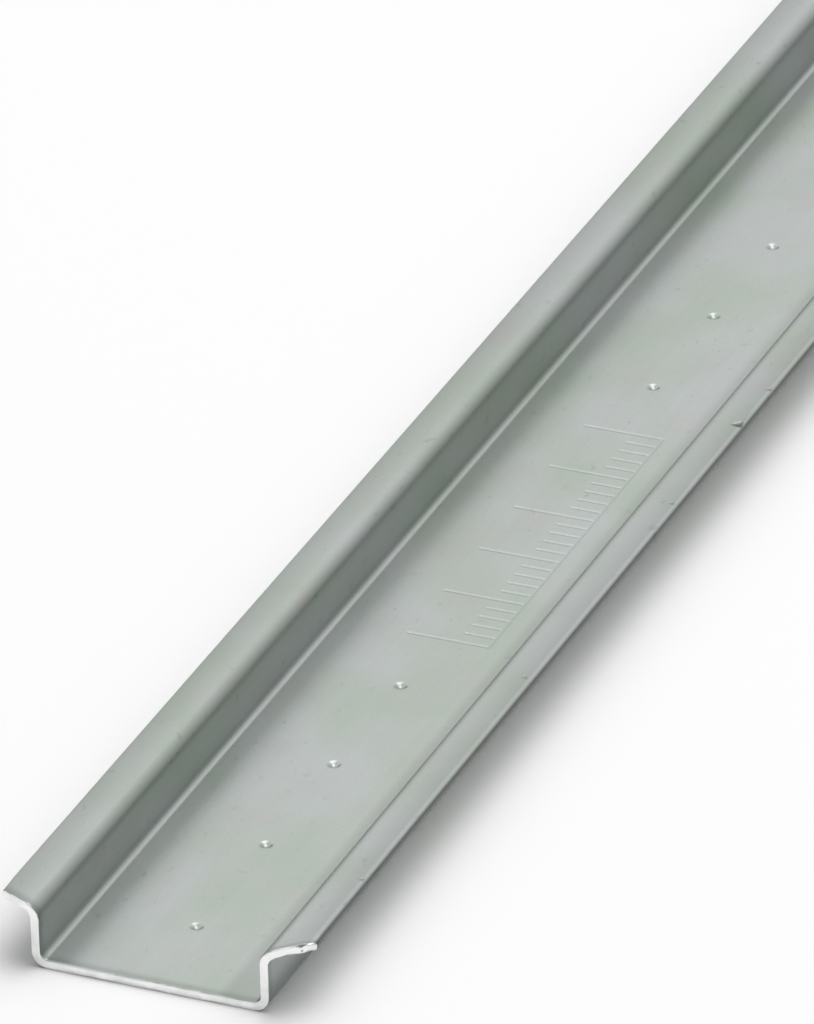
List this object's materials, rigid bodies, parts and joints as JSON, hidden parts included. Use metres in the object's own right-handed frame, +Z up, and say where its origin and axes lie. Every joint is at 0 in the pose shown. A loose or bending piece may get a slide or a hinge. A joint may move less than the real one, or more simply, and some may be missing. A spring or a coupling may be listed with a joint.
{
  "type": "din rail",
  "caption": "Unperforated top-hat mounting rail of roll-formed, zinc-plated steel strip, 35 mm wide and 7.5 mm high, cut to a length of 1 m, with a row of small punch marks along its web.",
  "frame": {"origin": "on the underside of the web, at the middle of the rail's width and length, where it lies on the floor or on a panel", "axes": "+X across the rail to the right-hand flange, +Y along the rail from its front end to its back end, +Z up out of the channel"},
  "size_m": [0.035, 1, 0.0075],
  "materials": {
    "zinc_plated_steel": "zinc plated and passivated, satin, faintly green-grey"
  },
  "bodies": {
    "root": {"rail": "zinc_plated_steel"}
  },
  "joints": []
}
